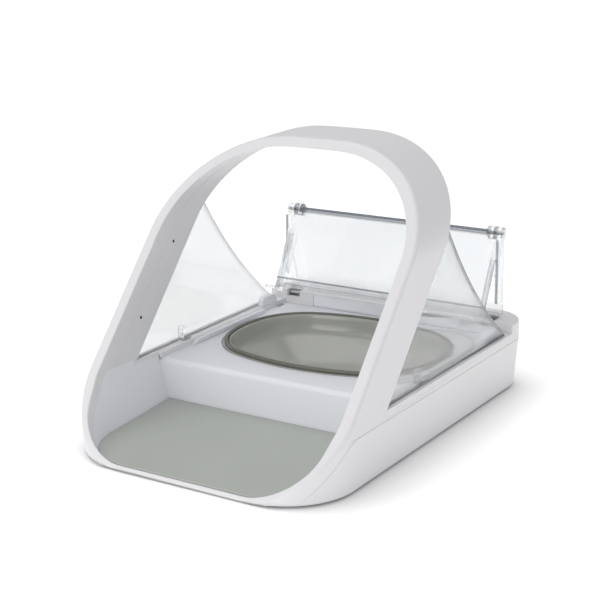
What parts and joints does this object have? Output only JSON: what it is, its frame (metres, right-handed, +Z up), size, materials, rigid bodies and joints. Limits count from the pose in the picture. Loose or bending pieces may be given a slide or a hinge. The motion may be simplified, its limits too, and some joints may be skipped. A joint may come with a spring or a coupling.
{
  "type": "microchip_pet_feeder",
  "caption": "Pet feeder with a slanted white entry hoop, sloping tray with mat, oval bowl and a folding clear lid.",
  "frame": {"origin": "On the floor, under the middle of the body's box.", "axes": "+Z up, -Y the front that the pet comes to, +Y the rear with the lid, X across."},
  "size_m": [0.23, 0.318, 0.212],
  "materials": {
    "shell_white": "smooth satin-gloss moulding",
    "deck_white": "smooth satin moulding",
    "mat_grey_green": "soft matt sheet",
    "bowl_grey": "glossy moulding",
    "seal_olive": "soft satin ring",
    "clear_plastic": "clear polished plastic",
    "black_plastic": "dark glossy plastic",
    "steel": "plated steel",
    "board_green": "solder-masked board",
    "cell_jacket": "printed sleeve, plain",
    "coil_copper": "enamelled winding",
    "rubber_grey": "matt rubber",
    "drive_plastic": "acetal, natural"
  },
  "bodies": {
    "housing": {"base_tub": "shell_white", "outer_frame": "shell_white", "hoop_cover": "shell_white", "tray_deck": "deck_white", "rear_wall_plate": "deck_white", "status_window": "black_plastic", "deck_rail_left": "deck_white", "deck_rail_right": "deck_white", "bracket_left": "deck_white", "bracket_right": "deck_white", "side_plate_left": "clear_plastic", "side_plate_right": "clear_plastic", "gear_motor": "steel", "crank_axle": "steel", "main_board": "board_green", "sounder": "black_plastic", "reader_coil": "coil_copper", "ir_emitters": "black_plastic", "ir_receivers": "black_plastic", "contact_left": "steel", "contact_right": "steel", "contact_middle": "steel", "rubber_feet": "rubber_grey", "housing_screws": "steel", "cell_1": "cell_jacket", "cell_2": "cell_jacket", "cell_3": "cell_jacket", "cell_4": "cell_jacket"},
    "mat": {"mat": "mat_grey_green"},
    "bowl": {"bowl": "bowl_grey", "bowl_seal": "seal_olive"},
    "lid_rear": {"lid_rear_panel": "clear_plastic", "lid_hinge_pins": "steel", "lid_shaft": "steel", "lid_lever": "drive_plastic"},
    "lid_front": {"lid_front_panel": "clear_plastic"},
    "crank": {"crank_gear": "drive_plastic"},
    "link": {"drive_link": "drive_plastic"},
    "pinion": {"motor_pinion": "drive_plastic"},
    "door_left": {"battery_door_left": "shell_white"},
    "door_right": {"battery_door_right": "shell_white"},
    "button_left": {"button_left": "rubber_grey"},
    "button_right": {"button_right": "rubber_grey"}
  },
  "joints": [
    {"name": "lid_lift", "type": "hinge", "parent": "housing", "child": "lid_rear", "pos_m": [0, 0.131, 0.0525], "axis": [1, 0, 0], "range_deg": [0, 91.72]},
    {"name": "lid_fold", "type": "hinge", "parent": "lid_rear", "child": "lid_front", "pos_m": [0, 0.138, 0.125], "axis": [1, 0, 0], "range_deg": [-150.95, 0]},
    {"name": "crank_turn", "type": "hinge", "parent": "housing", "child": "crank", "pos_m": [0.104, 0.115, 0.027], "axis": [1, 0, 0], "range_deg": [0, 92.52]},
    {"name": "link_turn", "type": "hinge", "parent": "crank", "child": "link", "pos_m": [0.106, 0.1141, 0.02056], "axis": [1, 0, 0], "range_deg": [-92.52, 0]},
    {"name": "pinion_turn", "type": "hinge", "parent": "housing", "child": "pinion", "pos_m": [0.104, 0.101, 0.027], "axis": [1, 0, 0], "range_deg": [-266.98, 0]},
    {"name": "mat_lift", "type": "slide", "parent": "housing", "child": "mat", "axis": [0, 0, 1], "range_m": [0, 0.04]},
    {"name": "bowl_lift", "type": "slide", "parent": "housing", "child": "bowl", "axis": [0, 0, -1], "range_m": [-0.014, 0]},
    {"name": "door_left_off", "type": "slide", "parent": "housing", "child": "door_left", "axis": [0, 0, -1], "range_m": [0, 0.02]},
    {"name": "door_right_off", "type": "slide", "parent": "housing", "child": "door_right", "axis": [0, 0, -1], "range_m": [0, 0.02]},
    {"name": "button_left_push", "type": "slide", "parent": "housing", "child": "button_left", "axis": [0, -1, 0], "range_m": [0, 0.0012], "stiffness_N_per_m": 800},
    {"name": "button_right_push", "type": "slide", "parent": "housing", "child": "button_right", "axis": [0, -1, 0], "range_m": [0, 0.0012], "stiffness_N_per_m": 800}
  ],
  "couplings": [
    {"joint": "lid_fold", "follows": "lid_lift", "ratio": -1.637},
    {"joint": "crank_turn", "follows": "lid_lift", "ratio": 1},
    {"joint": "link_turn", "follows": "lid_lift", "ratio": -1},
    {"joint": "pinion_turn", "follows": "lid_lift", "ratio": -2.8889}
  ]
}
